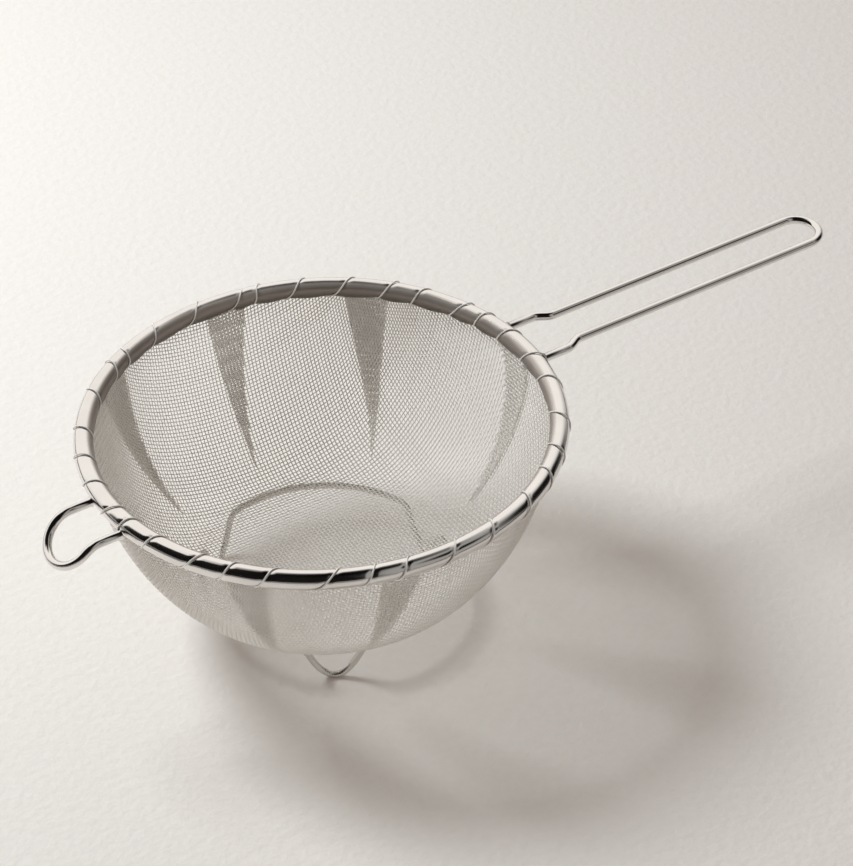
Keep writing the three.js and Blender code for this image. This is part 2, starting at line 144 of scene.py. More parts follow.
link(group_in.outputs["Low"], spread.inputs["To Min"])
link(group_in.outputs["High"], spread.inputs["To Max"])
link(spread.outputs["Result"], group_out.inputs["Roughness"])
link(smudge.outputs["Fac"], group_out.inputs["Cloud"])
link(grain.outputs["Fac"], group_out.inputs["Grain"])
print("group steel_wear:", len(wear.nodes), "nodes")

# %% [markdown]
# Bare steel has no colour under its shine, so on polished and drawn wire Metallic is 1 and the base colour
# is the tint of the reflection. Woven wire is so fine that its round, scuffed sides scatter light much as
# pale cloth does, so it gets a low Metallic and a paler colour. The cloud moves the tint a little between
# two close greys, the group sets the roughness, and the grain feeds a shallow bump. One function makes
# every finish, because they differ only in numbers.

# %% Three finishes of steel
TINT_DARK_AT = 0.35
TINT_PALE_AT = 0.65
BUMP_STRENGTH = 0.5
POLISHED_PALE = (0.80, 0.78, 0.755)
POLISHED_DARK = (0.74, 0.72, 0.69)


def steel(name, pale, dark, metallic, roughness, smudge_scale, grain_scale, bump_depth):
    material = bpy.data.materials.new(name)
    material.use_nodes = True
    nodes = material.node_tree.nodes
    join = material.node_tree.links.new
    shader = nodes["Principled BSDF"]
    shader.inputs["Metallic"].default_value = metallic
    coordinates = nodes.new("ShaderNodeTexCoord")
    signs = nodes.new("ShaderNodeGroup")
    signs.node_tree = wear
    signs.inputs["Smudge Scale"].default_value = smudge_scale
    signs.inputs["Grain Scale"].default_value = grain_scale
    signs.inputs["Low"].default_value = roughness[0]
    signs.inputs["High"].default_value = roughness[1]
    tint = nodes.new("ShaderNodeValToRGB")
    tint.color_ramp.elements[0].position = TINT_DARK_AT
    tint.color_ramp.elements[0].color = (*dark, 1)
    tint.color_ramp.elements[1].position = TINT_PALE_AT
    tint.color_ramp.elements[1].color = (*pale, 1)
    bump = nodes.new("ShaderNodeBump")
    bump.inputs["Strength"].default_value = BUMP_STRENGTH
    bump.inputs["Distance"].default_value = bump_depth
    join(coordinates.outputs["Object"], signs.inputs["Vector"])
    join(signs.outputs["Cloud"], tint.inputs["Fac"])
    join(tint.outputs["Color"], shader.inputs["Base Color"])
    join(signs.outputs["Roughness"], shader.inputs["Roughness"])
    join(signs.outputs["Grain"], bump.inputs["Height"])
    join(bump.outputs["Normal"], shader.inputs["Normal"])
    return material


polished = steel("polished_steel", POLISHED_PALE, POLISHED_DARK, metallic=1, roughness=(0.06, 0.16),
                 smudge_scale=45, grain_scale=1600, bump_depth=2e-6)
drawn = steel("drawn_wire_steel", (0.74, 0.72, 0.69), (0.66, 0.64, 0.61), metallic=1, roughness=(0.2, 0.34),
              smudge_scale=60, grain_scale=2400, bump_depth=4e-6)
woven = steel("woven_wire_steel", (0.94, 0.915, 0.875), (0.87, 0.845, 0.80), metallic=0.2,
              roughness=(0.45, 0.6), smudge_scale=30, grain_scale=3000, bump_depth=3e-6)
print("finishes:", [m.name for m in (polished, drawn, woven)])

# %% [markdown]
# A curve with a bevel depth is the natural way to make a wire: the points are its path and the bevel its
# round section. The finished piece is turned into a mesh, so that its triangles can be counted, and the
# curve is thrown away. Each point also carries a radius, which can swell a wire where it is welded.


# %% Helpers: wires from curves, and dressing a piece
def wire_piece(name, paths, diameter, sides, closed=False, swell=None):
    curve = bpy.data.curves.new(name, "CURVE")
    curve.dimensions = "3D"
    curve.bevel_depth = diameter / 2
    curve.bevel_resolution = (sides - 4) // 2
    curve.use_fill_caps = True
    for path in paths:
        spline = curve.splines.new("POLY")
        spline.points.add(len(path) - 1)
        spline.points.foreach_set("co", [x for point in path for x in (*point, 1.0)])
        spline.use_cyclic_u = closed
        if swell:
            spline.points.foreach_set("radius", [swell(i, len(path)) for i in range(len(path))])
    holder = bpy.data.objects.new(name, curve)
    mesh = bpy.data.meshes.new_from_object(holder)
    bpy.data.objects.remove(holder)
    bpy.data.curves.remove(curve)
    mesh.name = name
    mesh.shade_smooth()
    return add_piece(name, mesh)


def add_piece(name, mesh):
    piece = bpy.data.objects.new(name, mesh)
    scene.collection.objects.link(piece)
    return piece


def dress(piece, material, slot, *nodes):
    piece.data.materials.clear()
    piece.data.materials.append(material)
    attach(piece, "root")
    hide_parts(*nodes)
    count = sum(len(p.vertices) - 2 for p in piece.data.polygons)
    print(f"{piece.name}: {count} triangles, for {', '.join(nodes)}")


print("helpers ready")

# %% [markdown]
# The bowl is one round sheet of woven wire, pressed to a flat floor and a steep wall. Everything on it is
# found by its distance from the middle of the sheet, measured along the mesh. So the section comes first:
# a flat floor, then a wall that Blender's own Bezier helper draws, and a tuck that goes up into the band.

# %% The bowl's section, by distance from the middle of the sheet
BOWL_DEPTH = 76.6 * MM
WALL_RADIUS = 99.2025 * MM
BAND_RADIUS = 4.2 * MM
WALL_LEAN = math.radians(9)
WALL_PULL = 50 * MM
FLOOR_PULL = 10 * MM
MESH_TUCK = 0.5 * MM
WALL_SAMPLES = 160

floor_edge = Vector((FLOOR_RADIUS, -BOWL_DEPTH, 0))
wall_top = Vector((WALL_RADIUS, -BAND_RADIUS, 0))
lean = Vector((math.sin(WALL_LEAN), math.cos(WALL_LEAN), 0))
wall = interpolate_bezier(floor_edge, floor_edge + Vector((FLOOR_PULL, 0, 0)),
                          wall_top - WALL_PULL * lean, wall_top, WALL_SAMPLES)
wall.append(Vector((WALL_RADIUS, MESH_TUCK, 0)))
sheet_at = [FLOOR_RADIUS]
for low, high in zip(wall, wall[1:]):
    sheet_at.append(sheet_at[-1] + (high - low).length)
sheet_radius = sheet_at[-1]
band_at = sheet_at[-2]


def section(distance):
    if distance <= FLOOR_RADIUS:
        return distance, -BOWL_DEPTH, Vector((0, -1))
    k = min(bisect_right(sheet_at, distance), len(wall) - 1)
    low, high = wall[k - 1], wall[k]
    share = (distance - sheet_at[k - 1]) / (sheet_at[k] - sheet_at[k - 1])
    point = low.lerp(high, share)
    along = (high - low).normalized()
    return point.x, point.y, Vector((along.y, -along.x))


print(f"sheet radius {sheet_radius / MM:.1f} mm, bowl radius {WALL_RADIUS / MM:.1f} mm")

# %% [markdown]
# Woven wire drapes like a fishing net: wires bend but don't stretch, so each side of each little square
# keeps its length and only the squares lean over into diamonds. Four wires run straight out from the middle
# of the floor, and between them every new crossing is the point of the bowl that lies one pitch from two
# crossings found before. A few Newton steps find it. One quarter of the net is solved like that, and the
# other three are turned copies.

# %% The draped net
MESH_PITCH = 1.73 * MM
WEAVE_TURN = math.radians(88)
NET_STEPS = 6


def bowl_point(spot):
    radius, height, _ = section(spot.x)
    return Vector((radius * math.cos(spot.y), radius * math.sin(spot.y), height))


def next_crossing(corner, one, other):
    ends = (bowl_point(one), bowl_point(other))
    flat = ends[0] + ends[1] - bowl_point(corner)
    spot = Vector((one.x + other.x - corner.x, math.atan2(flat.y, flat.x)))
    for _ in range(NET_STEPS):
        radius, height, normal = section(spot.x)
        out = Vector((math.cos(spot.y), math.sin(spot.y), 0))
        along = Vector((-normal.y * out.x, -normal.y * out.y, normal.x))
        around = radius * Vector((-out.y, out.x, 0))
        sides = [bowl_point(spot) - end for end in ends]
        miss = Vector([side.length - MESH_PITCH for side in sides])
        slopes = [(side.normalized().dot(along), side.normalized().dot(around)) for side in sides]
        spot -= Matrix(slopes).inverted() @ miss
    return spot


def drape_quarter(count):
    net = {(0, 0): Vector((0, 0))}
    for i in range(1, count + 1):
        net[i, 0] = Vector((i * MESH_PITCH, 0))
        net[0, i] = Vector((i * MESH_PITCH, math.pi / 2))
    for i in range(1, count + 1):
        for j in range(1, count + 1):
            known = ((i - 1, j - 1), (i, j - 1), (i - 1, j))
            if all(key in net for key in known):
                spot = next_crossing(*(net[key] for key in known))
                if spot.x <= sheet_radius:
                    net[i, j] = spot
    return net


last_wire = int(sheet_radius / MESH_PITCH)
quarter_net = drape_quarter(last_wire)
print("crossings in a quarter of the net:", len(quarter_net))

# %% [markdown]
# Plain weave: every wire goes over one crossing wire and under the next, so its height swaps sign from
# crossing to crossing. One point for each crossing and four sides are enough for a wire this thin. The
# sheet's two directions are parted into halves, which keeps each piece well under the limit on triangles.

# %% The woven bowl
MESH_WIRE = 0.56 * MM
MESH_WIRE_SIDES = 4


def crossing(i, j, over):
    rise = over * MESH_WIRE / 2 * (1 if (i + j) % 2 else -1)
    turned = WEAVE_TURN
    while (i or j) and not (i > 0 and j >= 0):
        i, j = j, -i
        turned += math.pi / 2
    spot = quarter_net.get((i, j))
    return spot and Vector((spot.x, spot.y + turned, rise))


def mesh_wire(i, lengthwise):
    reach = range(-last_wire, last_wire + 1)
    places = [crossing(i, j, 1) if lengthwise else crossing(j, i, -1) for j in reach]
    places = [spot for spot in places if spot]
    for before, spot in zip(places, places[1:]):
        spot.y -= 2 * math.pi * round((spot.y - before.y) / (2 * math.pi))
    return places


def on_bowl(spot):
    radius, height, normal = section(spot.x)
    return place(radius + spot.z * normal.x, spot.y, height + spot.z * normal.y)


def weave(name, wires):
    paths = [[on_bowl(spot) for spot in wire] for wire in wires if len(wire) > 2]
    piece = wire_piece(name, paths, MESH_WIRE, MESH_WIRE_SIDES)
    dress(piece, woven, "mesh_steel", "mesh_bowl")


warp = [mesh_wire(i, True) for i in range(-last_wire, last_wire + 1)]
weft = [mesh_wire(i, False) for i in range(-last_wire, last_wire + 1)]
weave("mesh_warp_near", warp[:last_wire])
weave("mesh_warp_far", warp[last_wire:])
weave("mesh_weft_near", weft[:last_wire])
weave("mesh_weft_far", weft[last_wire:])

# %% [markdown]
# Even a net can't lean far enough at the rim, so the spare mesh there is laid over into eight pleats, which
# die out near the floor. A pleat adds two layers inside the wall: the mesh turns back on itself at the
# pleat's open edge and forward again at its fold line. So the same wires are used once more, those beyond
# the fold line mirrored back over it, and all of them cut off straight at the pleat's open edge. Each row
# of PLEATS holds a pleat's azimuth at the band, how far it leans on its way down, both in degrees, and the
# power that bends its line.

# %% Eight pleats
PLEATS = ((0.5, -9, 0.5), (46, -7, 1.5), (84.5, 1, 1), (126, 0, 1),
          (172, 2, 1), (219, 3, 1), (257.5, -7, 1), (309, 0, 1))
PLEAT_HALF = 5.6
PLEAT_LENGTH = 76 * MM
LAYER = 0.8 * MM
LOWER_LAYER = 1
UPPER_LAYER = 2
FLAP_SHIFT = 0.67
FLAP_SLIDE = 0.58 * MM
FOLD_ROUND = 0.5
TIP_CLOSES = 1.5
ON_EDGE = 1e-4


def fold_line(pleat, distance):
    azimuth, skew, bow = pleat
    down = min(1.0, max(0.0, (band_at - distance) / PLEAT_LENGTH))
    half = PLEAT_HALF * (1 - down)
    return azimuth + skew * down ** bow + half, 2 * half


def unfold(pleat, spot):
    line, width = fold_line(pleat, spot.x)
    past = (line - FLAP_SHIFT - math.degrees(spot.y) + 180) % 360 - 180
    return past, width - abs(past)


def cut_shares(pleat, start, end):
    (past, room), (end_past, end_room) = unfold(pleat, start), unfold(pleat, end)
    shares = []
    if room * end_room < 0:
        shares.append(room / (room - end_room))
    if past * end_past < 0 and max(room, end_room) > 0:
        shares.append(past / (past - end_past))
    return sorted(shares)


def flap_spot(pleat, spot):
    line, width = fold_line(pleat, spot.x)
    past = unfold(pleat, spot)[0]
    turned_over = min(1.0, max(-1.0, past / FOLD_ROUND))
    layer = (LOWER_LAYER + UPPER_LAYER) / 2 + (UPPER_LAYER - LOWER_LAYER) / 2 * turned_over
    inset = LAYER * layer * min(1.0, width / TIP_CLOSES)
    return Vector((spot.x - FLAP_SLIDE * layer, math.radians(line - abs(past)), spot.z - inset))


def flap_wires(pleat, wire):
    spots = wire[:1]
    for start, end in zip(wire, wire[1:]):
        spots += [start.lerp(end, share) for share in cut_shares(pleat, start, end)] + [end]
    runs = [[]]
    for spot in spots:
        if unfold(pleat, spot)[1] > -ON_EDGE:
            runs[-1].append(flap_spot(pleat, spot))
        elif runs[-1]:
            runs.append([])
    return runs


for name, wires in (("pleats_warp", warp), ("pleats_weft", weft)):
    flaps = [run for pleat in PLEATS for wire in wires for run in flap_wires(pleat, wire)]
    weave(name, flaps)

# %% [markdown]
# The lashing is one thin wire wound round the rim by hand, so its turns are uneven. Each turn crosses the
# band's top at its own azimuth. lash_azimuth() says where a turn is at any angle round the band's section:
# it crosses the top steeply and makes most of its way underneath, and both the wire and the band's dents
# follow it. LASH_STEPS holds the degrees from one crossing to the next.

# %% Where the lashing runs
LASH_START = 150
LASH_STEPS = (10.5, 10, 11, 5.5, 9, 12.5, 8, 9.5, 15, 9, 8, 13, 11.5, 13.5, 11, 9, 12.5,
              15, 9.5, 11, 9, 6, 12.5, 8, 11.5, 12.5, 11.5, 4, 13, 14, 12, 5.5, 12)
TOP_ADVANCE = 0.7

lash_tops = [LASH_START]
for step in LASH_STEPS:
    lash_tops.append(lash_tops[-1] + step)


def lash_azimuth(turn):
    spot = turn - 0.5
    k = min(max(int(math.floor(spot)), 0), len(lash_tops) - 2)
    share = spot - k
    bent = share - (1 - TOP_ADVANCE) / (2 * math.pi) * math.sin(2 * math.pi * share)
    return lash_tops[k] + bent * (lash_tops[k + 1] - lash_tops[k])


print("turns of lashing:", len(lash_tops))

# %% [markdown]
# The band is polished outside, but no wheel reaches its inner face once it is rolled, so that face stays
# dull:
# rougher and less metallic. Its colour there is also darkened, which is painted shade for the hollow inside
# the roll. The change follows the strip's own section, which an attribute can carry: around runs from 0 at
# the strip's outer edge to 1 at its inner lip, and the next cell writes it on the vertices. Here the material
# reads it. A colour ramp darkens the steel as painted shade, at the degrees round the section that the
# stops below name, and two Map Range nodes make it rougher and less metallic.

# %% The finish of the rim band, with painted shade inside
BAND_FROM = math.radians(-55)
BAND_TO = math.radians(230)
# Painted shade: each stop is a degree round the section and the colour that darkens the steel there.
INSIDE_SHADE_STOPS = ((108, (1.0, 1.0, 1.0)), (126, (0.64, 0.6, 0.57)), (150, (0.46, 0.42, 0.39)),
              (200, (0.21, 0.19, 0.172)))
DULL_ROUGHNESS = 0.34
DULL_METALLIC = 0.55


def section_share(around):
    return (around - BAND_FROM) / (BAND_TO - BAND_FROM)


# Makes the inner face rougher and less metallic, and darkens its colour as painted shade.
def dull_and_shade_inside(material):
    nodes = material.node_tree.nodes
    join = material.node_tree.links.new
    shader = nodes["Principled BSDF"]
    bright = shader.inputs["Base Color"].links[0].from_socket
    smooth = shader.inputs["Roughness"].links[0].from_socket
    around = nodes.new("ShaderNodeAttribute")
    around.attribute_name = "around"
    places = [section_share(math.radians(degrees)) for degrees, colour in INSIDE_SHADE_STOPS]

    def inward(outside, inside):
        change = nodes.new("ShaderNodeMapRange")
        change.inputs["From Min"].default_value = places[0]
        change.inputs["From Max"].default_value = places[1]
        change.inputs["To Min"].default_value = outside
        change.inputs["To Max"].default_value = inside
        join(around.outputs["Fac"], change.inputs["Value"])
        return change.outputs["Result"]

    # This ramp is painted shade: it darkens the inner face where the roll shades it.
    painted_shade = nodes.new("ShaderNodeValToRGB")
    stops = painted_shade.color_ramp.elements
    while len(stops) < len(INSIDE_SHADE_STOPS):
        # The loop below gives each new stop its real place.
        stops.new(0.5)
    for stop, position, (degrees, colour) in zip(stops, places, INSIDE_SHADE_STOPS):
        stop.position = position
        stop.color = (*colour, 1)
    shaded = nodes.new("ShaderNodeMix")
    shaded.data_type = "RGBA"
    shaded.blend_type = "MULTIPLY"
    shaded.inputs["Factor"].default_value = 1
    rougher = nodes.new("ShaderNodeMath")
    rougher.operation = "MAXIMUM"
    join(around.outputs["Fac"], painted_shade.inputs["Fac"])
    join(bright, shaded.inputs["A"])
    join(painted_shade.outputs["Color"], shaded.inputs["B"])
    join(shaded.outputs["Result"], shader.inputs["Base Color"])
    join(smooth, rougher.inputs[0])
    join(inward(0, DULL_ROUGHNESS), rougher.inputs[1])
    join(rougher.outputs["Value"], shader.inputs["Roughness"])
    join(inward(1, DULL_METALLIC), shader.inputs["Metallic"])


band_steel = steel("band_steel", POLISHED_PALE, POLISHED_DARK, metallic=1, roughness=(0.08, 0.18),
                   smudge_scale=45, grain_scale=1600, bump_depth=2e-6)
# The next line adds the dull inner face and its painted shade.
dull_and_shade_inside(band_steel)
print("band dulls from", INSIDE_SHADE_STOPS[0][0], "to", INSIDE_SHADE_STOPS[-1][0], "degrees round its section")

# %% [markdown]
# The rim band is a polished strip rolled almost shut round the hoop and the edge of the mesh. One vertex
# spun about the section's middle draws the outer arc, extruding and shrinking that arc gives the strip its
# thickness, and spinning the outline about the bowl's axis makes the ring. The vertices are then moved to
# the oval, pressed in under each turn of lashing, and let out along the inner lip between the turns.

# %% The rim band
BAND_WALL = 0.6 * MM
BAND_ARC_STEPS = 26
LIP_ROUND = 0.22 * MM
RING_STEPS = 540
DENT = 0.35 * MM
DENT_REACH = 1.8 * MM
LIP_RISE = 0.8 * MM
LIP_FROM = math.radians(185)
EDGE_SLACK = 0.1
SEAM = 1e-7


def rim_profile(bm, start, angle, steps):
    middle = Vector((RIM_RADIUS, 0, 0))
    first = bm.verts.new(middle + start)
    bmesh.ops.spin(bm, geom=[first], cent=middle, axis=(0, -1, 0), angle=angle, steps=steps)
    return middle


def spin_ring(bm):
    rim = bm.verts[:] + bm.edges[:]
    bmesh.ops.spin(bm, geom=rim, cent=(0, 0, 0), axis=(0, 0, 1), angle=2 * math.pi,
                   steps=RING_STEPS, use_merge=True)
    bmesh.ops.remove_doubles(bm, verts=bm.verts, dist=SEAM)
    bmesh.ops.recalc_face_normals(bm, faces=bm.faces)


def nearest_turn(azimuth, around):
    part_turn = (around + math.pi / 2) / (2 * math.pi)
    gaps = []
    for k in range(len(lash_tops)):
        away = (azimuth - lash_azimuth(k + part_turn) + 180) % 360 - 180
        gaps.append(abs(away))
    gaps.sort()
    return gaps[0], gaps[1]


def press_band(vertex):
    radius = math.hypot(vertex.co.x, vertex.co.y)
    azimuth = math.atan2(vertex.co.y, vertex.co.x)
    out, up = radius - RIM_RADIUS, vertex.co.z
    around = math.atan2(up, out)
    if around < BAND_FROM - EDGE_SLACK:
        around += 2 * math.pi
    near, far = nearest_turn(math.degrees(azimuth), around)
    near_length = math.radians(near) * RIM_RADIUS
    pressed = max(0.0, 1 - (near_length / DENT_REACH) ** 2) ** 2
    between = 4 * near * far / (near + far) ** 2
    lip = min(1.0, max(0.0, (around - LIP_FROM) / (BAND_TO - LIP_FROM)))
    grow = 1 + (LIP_RISE * lip * between ** 2 - DENT * pressed) / BAND_RADIUS
    vertex.co = place(RIM_RADIUS + out * grow, azimuth, up * grow)
    return section_share(around)


bm = bmesh.new()
lip_start = BAND_RADIUS * Vector((math.cos(BAND_FROM), 0, math.sin(BAND_FROM)))
centre = rim_profile(bm, lip_start, BAND_TO - BAND_FROM, BAND_ARC_STEPS)
made = bmesh.ops.extrude_edge_only(bm, edges=bm.edges[:])
inner = [g for g in made["geom"] if isinstance(g, bmesh.types.BMVert)]
shrink = (BAND_RADIUS - BAND_WALL) / BAND_RADIUS
for vertex in inner:
    vertex.co = centre + (vertex.co - centre) * shrink
corners = [v for v in bm.verts if len(v.link_edges) == 2]
bmesh.ops.bevel(bm, geom=corners, offset=LIP_ROUND, offset_type="OFFSET", affect="VERTICES",
                segments=2, profile=0.5, material=-1)
bmesh.ops.delete(bm, geom=bm.faces[:], context="FACES_KEEP_BOUNDARY")
spin_ring(bm)
shares = [press_band(vertex) for vertex in bm.verts]
band_mesh = bpy.data.meshes.new("rolled_band")
bm.to_mesh(band_mesh)
bm.free()
around = band_mesh.attributes.new("around", "FLOAT", "POINT")
around.data.foreach_set("value", shares)
band_mesh.shade_smooth()
rolled_band = add_piece("rolled_band", band_mesh)
dress(rolled_band, band_steel, "polished_steel", "rim_band")

# %% [markdown]
# Inside the band lies the hoop, a plain round wire that keeps the rim stiff. It only shows from below,
# through the band's open side, but it closes the view there. The same spin makes it, from a full circle.

# %% The hoop
HOOP_DIAMETER = 4 * MM
HOOP_SIDES = 20

bm = bmesh.new()
ring = bmesh.ops.create_circle(bm, segments=HOOP_SIDES, radius=HOOP_DIAMETER / 2)
for vertex in ring["verts"]:
    vertex.co = Vector((RIM_RADIUS + HOOP_OUT + vertex.co.x, 0, HOOP_UP + vertex.co.y))
spin_ring(bm)
for vertex in bm.verts:
    azimuth = math.atan2(vertex.co.y, vertex.co.x)
    vertex.co = place(math.hypot(vertex.co.x, vertex.co.y), azimuth, vertex.co.z)
hoop_mesh = bpy.data.meshes.new("core_hoop")
bm.to_mesh(hoop_mesh)
bm.free()
hoop_mesh.shade_smooth()
core_hoop = add_piece("core_hoop", hoop_mesh)
dress(core_hoop, drawn, "wire_steel", "rim_hoop")

# %% [markdown]
# The lashing itself is a curve that circles the band's section once a turn. Hand-wound wire never lies
# quite tight, so each turn stands off the band's outer side by its own small amount. Its two ends are
# tucked up under the hoop. Winding scuffs such a thin wire all round, so its finish is paler and less like
# a mirror than that of the other drawn wires.

# %% The lashing wire
LASH_DIAMETER = 0.7 * MM
LASH_POINTS = 30
LASH_SLACK = 0.35 * MM
LASH_TIGHT = -0.3 * MM
LASH_SIDES = 8
LASH_BEGIN = 0.04
LOOSE_STEP = 2.4
LOOSE_SIDE = 0.6
TUCK_UNDER = 0.6 * MM


def lash_point(turn):
    around = turn * 2 * math.pi - math.pi / 2
    loose = 0.5 + 0.5 * math.sin(math.floor(turn) * LOOSE_STEP)
    stand_off = LASH_SLACK * loose * max(0.0, math.cos(around - LOOSE_SIDE)) ** 2
    reach = BAND_RADIUS + LASH_DIAMETER / 2 + LASH_TIGHT + stand_off
    azimuth = math.radians(lash_azimuth(turn))
    return place(RIM_RADIUS + reach * math.cos(around), azimuth, reach * math.sin(around))


steps = range(len(lash_tops) * LASH_POINTS + 1)
lash_path = [lash_point(LASH_BEGIN + i / LASH_POINTS) for i in steps]
tuck_height = HOOP_UP - HOOP_DIAMETER / 2 - TUCK_UNDER
for index, turn in ((0, LASH_BEGIN), (len(lash_path), LASH_BEGIN + len(lash_tops))):
    azimuth = math.radians(lash_azimuth(turn))
    lash_path.insert(index, place(RIM_RADIUS + HOOP_OUT, azimuth, tuck_height))
lashing = wire_piece("binding_wire", [lash_path], LASH_DIAMETER, LASH_SIDES)
binding = steel("binding_wire_steel", (0.92, 0.9, 0.87), (0.85, 0.83, 0.8), metallic=0.45,
                roughness=(0.28, 0.42), smudge_scale=60, grain_scale=2400, bump_depth=4e-6)
dress(lashing, binding, "wire_steel", "lashing_wire")

# %% [markdown]
# The handle is one wire bent to a long U. Its legs step apart just before the rim and are butt-welded to
# the band, which squeezes the hot wire out a little, so the radius swells at both ends.

# %% The handle
RIM_OUTER = RIM_RADIUS + RIM_OVAL + BAND_RADIUS
HANDLE_WIRE = 4 * MM
HANDLE_REACH = 161 * MM
GRIP_HALF = 10.1 * MM
ROOT_HALF = 13.6 * MM
ROOT_LENGTH = 12 * MM
STEP_LENGTH = 9 * MM
HANDLE_ROOT = 106.3 * MM
ROUND_STEPS = 16
WELD_SWELL = 0.22
WELD_LENGTH = 0.7 * MM
WIRE_SIDES = 16


def mirrored(path):
    other = [Vector((p.x, -p.y, p.z)) for p in reversed(path[:-1])]
    return [Vector((p.x + axis_x, p.y, p.z + rim_z)) for p in path + other]


def weld_swell(i, count):
    return 1 + (WELD_SWELL if i in (0, count - 1) else 0)


def handle_path():
    points = [Vector((HANDLE_ROOT, ROOT_HALF, 0)), Vector((HANDLE_ROOT + WELD_LENGTH, ROOT_HALF, 0))]
    start = RIM_OUTER + ROOT_LENGTH
    for i in range(ROUND_STEPS + 1):
        share = i / ROUND_STEPS
        ease = (1 - math.cos(share * math.pi)) / 2
        across = ROOT_HALF + (GRIP_HALF - ROOT_HALF) * ease
        points.append(Vector((start + share * STEP_LENGTH, across, 0)))
    bend = RIM_OUTER + HANDLE_REACH - GRIP_HALF
    for i in range(ROUND_STEPS + 1):
        angle = math.pi / 2 * (1 - i / ROUND_STEPS)
        points.append(Vector((bend + GRIP_HALF * math.cos(angle), GRIP_HALF * math.sin(angle), 0)))
    return mirrored(points)


handle_wire = wire_piece("handle_wire", [handle_path()], HANDLE_WIRE, WIRE_SIDES, swell=weld_swell)
dress(handle_wire, polished, "polished_steel", "handle")

# %% [markdown]
# Opposite the handle a shorter U rests on the edge of a pot. Its round end is turned down, so the path has
# two bends: one down, drawn with a short Bezier, and one round the end.

# %% The pot hook
HOOK_WIRE = 4 * MM
HOOK_HALF = 12.5 * MM
HOOK_SINK = 2.4 * MM
HOOK_FLAT = 13 * MM
HOOK_LIP = 16.5 * MM
HOOK_TILT = math.radians(42)
HOOK_BEND = 4 * MM
HOOK_ROOT = 106.1 * MM
CORNER_PULL = 2 / 3


def smooth_corner(before, corner, after, steps):
    pulled = (before.lerp(corner, CORNER_PULL), after.lerp(corner, CORNER_PULL))
    return interpolate_bezier(before, *pulled, after, steps)


def hook_lip(along, across):
    x = -(RIM_OUTER + HOOK_FLAT) - along * math.cos(HOOK_TILT)
    return Vector((x, across, -HOOK_SINK - along * math.sin(HOOK_TILT)))


def hook_path():
    corner = hook_lip(0, HOOK_HALF)
    before = corner + Vector((HOOK_BEND, 0, 0))
    after = hook_lip(HOOK_BEND, HOOK_HALF)
    points = [Vector((-HOOK_ROOT, HOOK_HALF, -HOOK_SINK))]
    points.append(Vector((-HOOK_ROOT - WELD_LENGTH, HOOK_HALF, -HOOK_SINK)))
    points += smooth_corner(before, corner, after, ROUND_STEPS)
    for i in range(ROUND_STEPS + 1):
        angle = math.pi / 2 * i / ROUND_STEPS
        reach = HOOK_LIP - HOOK_HALF + HOOK_HALF * math.sin(angle)
        points.append(hook_lip(reach, HOOK_HALF * math.cos(angle)))
    return mirrored(points)


hook_wire = wire_piece("hook_wire", [hook_path()], HOOK_WIRE, WIRE_SIDES, swell=weld_swell)
dress(hook_wire, polished, "polished_steel", "pot_hook")

# %% [markdown]
# The base is a single closed wire under the floor's edge that dips into three feet. The closed path is
# built a third at a time: into a foot, round it, out again and along the ring to the next. A Bezier curve
# dips only three quarters as deep as its two handles, so these are set deeper than the foot.

# %% The base wire
BASE_WIRE = 3 * MM
BASE_HEIGHT = -BOWL_DEPTH - MESH_WIRE - BASE_WIRE / 2
FOOT_COUNT = 3
FOOT_HALF = 13 * MM
TOE_HALF = 4.5 * MM
FOOT_DROP = rim_z + BASE_HEIGHT - BASE_WIRE / 2
FOOT_CORNER = 3.5 * MM
FOOT_AZIMUTH = math.radians(2)
FOOT_STEPS = 24
ARC_STEPS = 28
CORNER_STEPS = 8
CORNER_TRIM = 2
BASE_SIDES = 14

foot_turn = math.asin(FOOT_HALF / FLOOR_RADIUS)
foot_out = FLOOR_RADIUS * math.cos(foot_turn)
corner_turn = FOOT_CORNER / FLOOR_RADIUS


def foot_and_arc(foot):
    azimuth = FOOT_AZIMUTH + foot / FOOT_COUNT * 2 * math.pi
    turn = Quaternion((0, 0, 1), azimuth)
    base = Vector((axis_x, 0, rim_z + BASE_HEIGHT))

    def spot(across, drop):
        return base + turn @ Vector((foot_out, across, -drop))

    def on_ring(angle):
        return place(FLOOR_RADIUS, azimuth + angle, BASE_HEIGHT)

    deep = FOOT_DROP * 4 / 3
    loop = interpolate_bezier(spot(-FOOT_HALF, 0), spot(-TOE_HALF, deep), spot(TOE_HALF, deep),
                              spot(FOOT_HALF, 0), FOOT_STEPS)
    into, out = loop[CORNER_TRIM], loop[-CORNER_TRIM - 1]
    points = smooth_corner(on_ring(-foot_turn - corner_turn), spot(-FOOT_HALF, 0), into, CORNER_STEPS)
    points += loop[CORNER_TRIM + 1:-CORNER_TRIM - 1]
    points += smooth_corner(out, spot(FOOT_HALF, 0), on_ring(foot_turn + corner_turn), CORNER_STEPS)
    arc = 2 * math.pi / FOOT_COUNT - 2 * (foot_turn + corner_turn)
    points += [on_ring(foot_turn + corner_turn + i / ARC_STEPS * arc) for i in range(1, ARC_STEPS)]
    return points


base_path = [point for foot in range(FOOT_COUNT) for point in foot_and_arc(foot)]
base_ring = wire_piece("base_ring", [base_path], BASE_WIRE, BASE_SIDES, closed=True)
dress(base_ring, drawn, "wire_steel", "base_wire")

# %% [markdown]
# The stage is a pale plaster-like table. Its colour is what makes the picture light, so it is close to
# white and slightly warm, and a noise gives it the shallow unevenness of a trowelled surface. It is much
# larger than the strainer, because the undersides of the wires mirror it.

